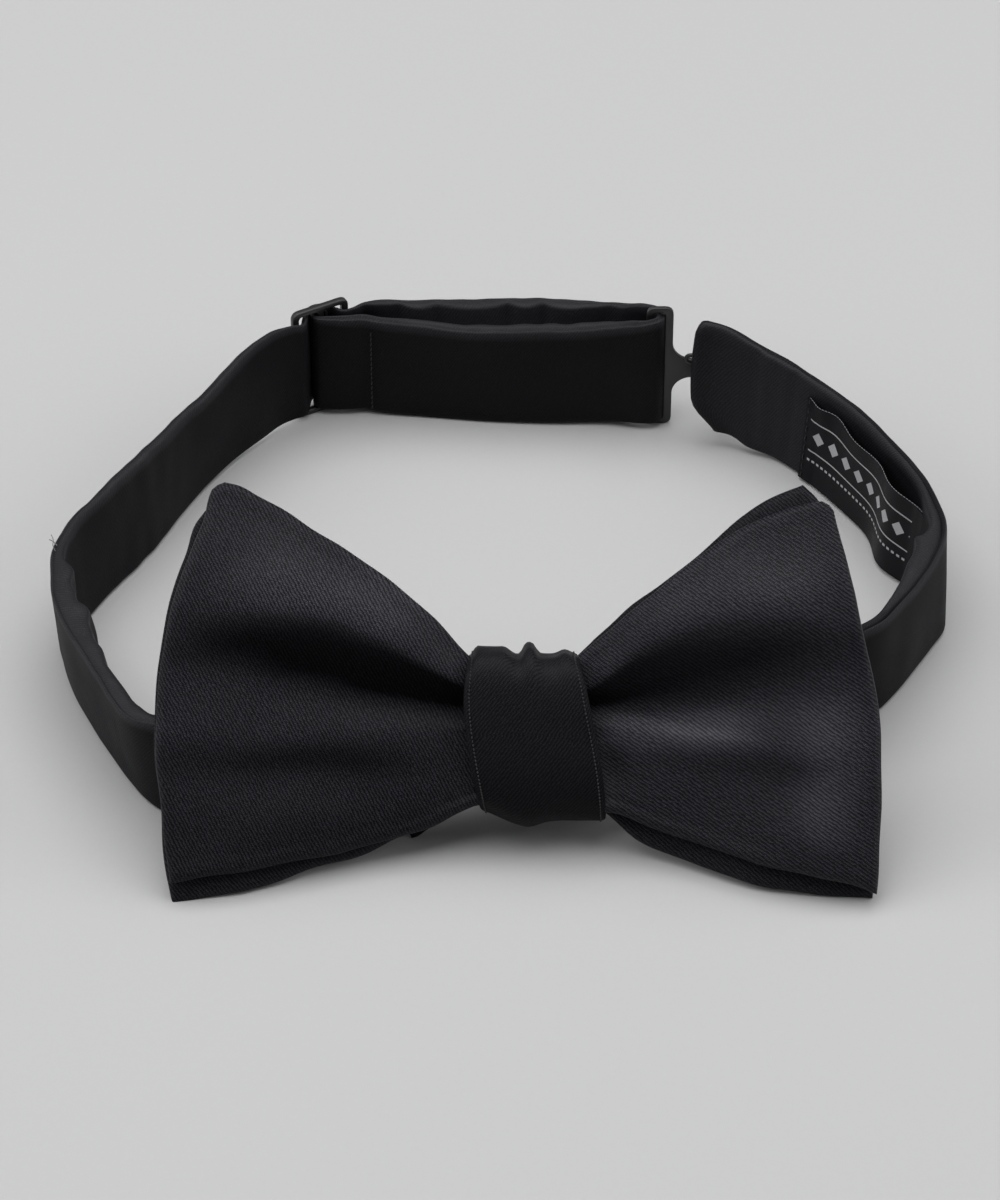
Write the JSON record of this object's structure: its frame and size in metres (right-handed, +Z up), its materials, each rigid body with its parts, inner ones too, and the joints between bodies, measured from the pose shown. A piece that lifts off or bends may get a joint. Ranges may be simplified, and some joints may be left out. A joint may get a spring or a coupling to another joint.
{
  "type": "bow tie",
  "caption": "Black satin bow tie with a wrapped knot on a closed neckband that adjusts with a three-bar slider and fastens with a flat hook and wire eye.",
  "frame": {"origin": "on the table, under the middle of the closed tie's bounding box", "axes": "+Z up from the table, +X along the bow to the right as seen from the front, +Y from the bow to the hook at the back"},
  "size_m": [0.1456, 0.1252, 0.0515],
  "materials": {
    "satin": "black twill-backed satin, soft sheen",
    "band_satin": "black satin strap, matt sheen",
    "interlining": "black woven interlining",
    "thread": "black polyester thread",
    "hardware": "matt black lacquer",
    "label_cloth": "black damask-woven label"
  },
  "bodies": {
    "bow_and_left_band": {"front_bow": "satin", "front_bow_interlining": "interlining", "back_bow": "satin", "back_bow_interlining": "interlining", "knot_band": "satin", "knot_interlining": "interlining", "knot_back_stitches": "thread", "left_band": "band_satin", "left_band_interlining": "interlining"},
    "right_strap": {"right_band": "band_satin", "right_band_interlining": "interlining", "eye": "hardware", "eye_stitches": "thread", "label": "label_cloth", "label_stitches": "thread"},
    "slider_group": {"slider": "hardware", "band_through_slider": "band_satin", "strap_end_turn": "band_satin", "bartack_stitches": "thread", "loop_back_layer": "band_satin", "loop_front_layer": "band_satin"},
    "strap_fold": {"loop_fold": "band_satin"},
    "hook_plate": {"hook": "hardware"}
  },
  "joints": [
    {"name": "band_open", "type": "hinge", "parent": "bow_and_left_band", "child": "right_strap", "pos_m": [0.02, -0.04, 0], "axis": [0, 0, -1], "range_deg": [0, 12], "deforming": ["right_band", "right_band_interlining"]},
    {"name": "slider_slide", "type": "slide", "parent": "bow_and_left_band", "child": "slider_group", "axis": [1, 0, 0], "range_m": [-0.002, 0.006], "deforming": ["band_through_slider"]},
    {"name": "hook_shift", "type": "slide", "parent": "slider_group", "child": "strap_fold", "axis": [1, 0, 0], "range_m": [-0.003, 0.001], "deforming": ["loop_back_layer", "loop_front_layer"]},
    {"name": "hook_swing", "type": "hinge", "parent": "strap_fold", "child": "hook_plate", "pos_m": [0.0246, 0.0537, 0], "axis": [0, 0, 1], "range_deg": [0, 48]}
  ],
  "couplings": [
    {"joint": "hook_shift", "follows": "slider_slide", "ratio": -0.5},
    {"joint": "hook_swing", "follows": "band_open", "ratio": 4}
  ]
}
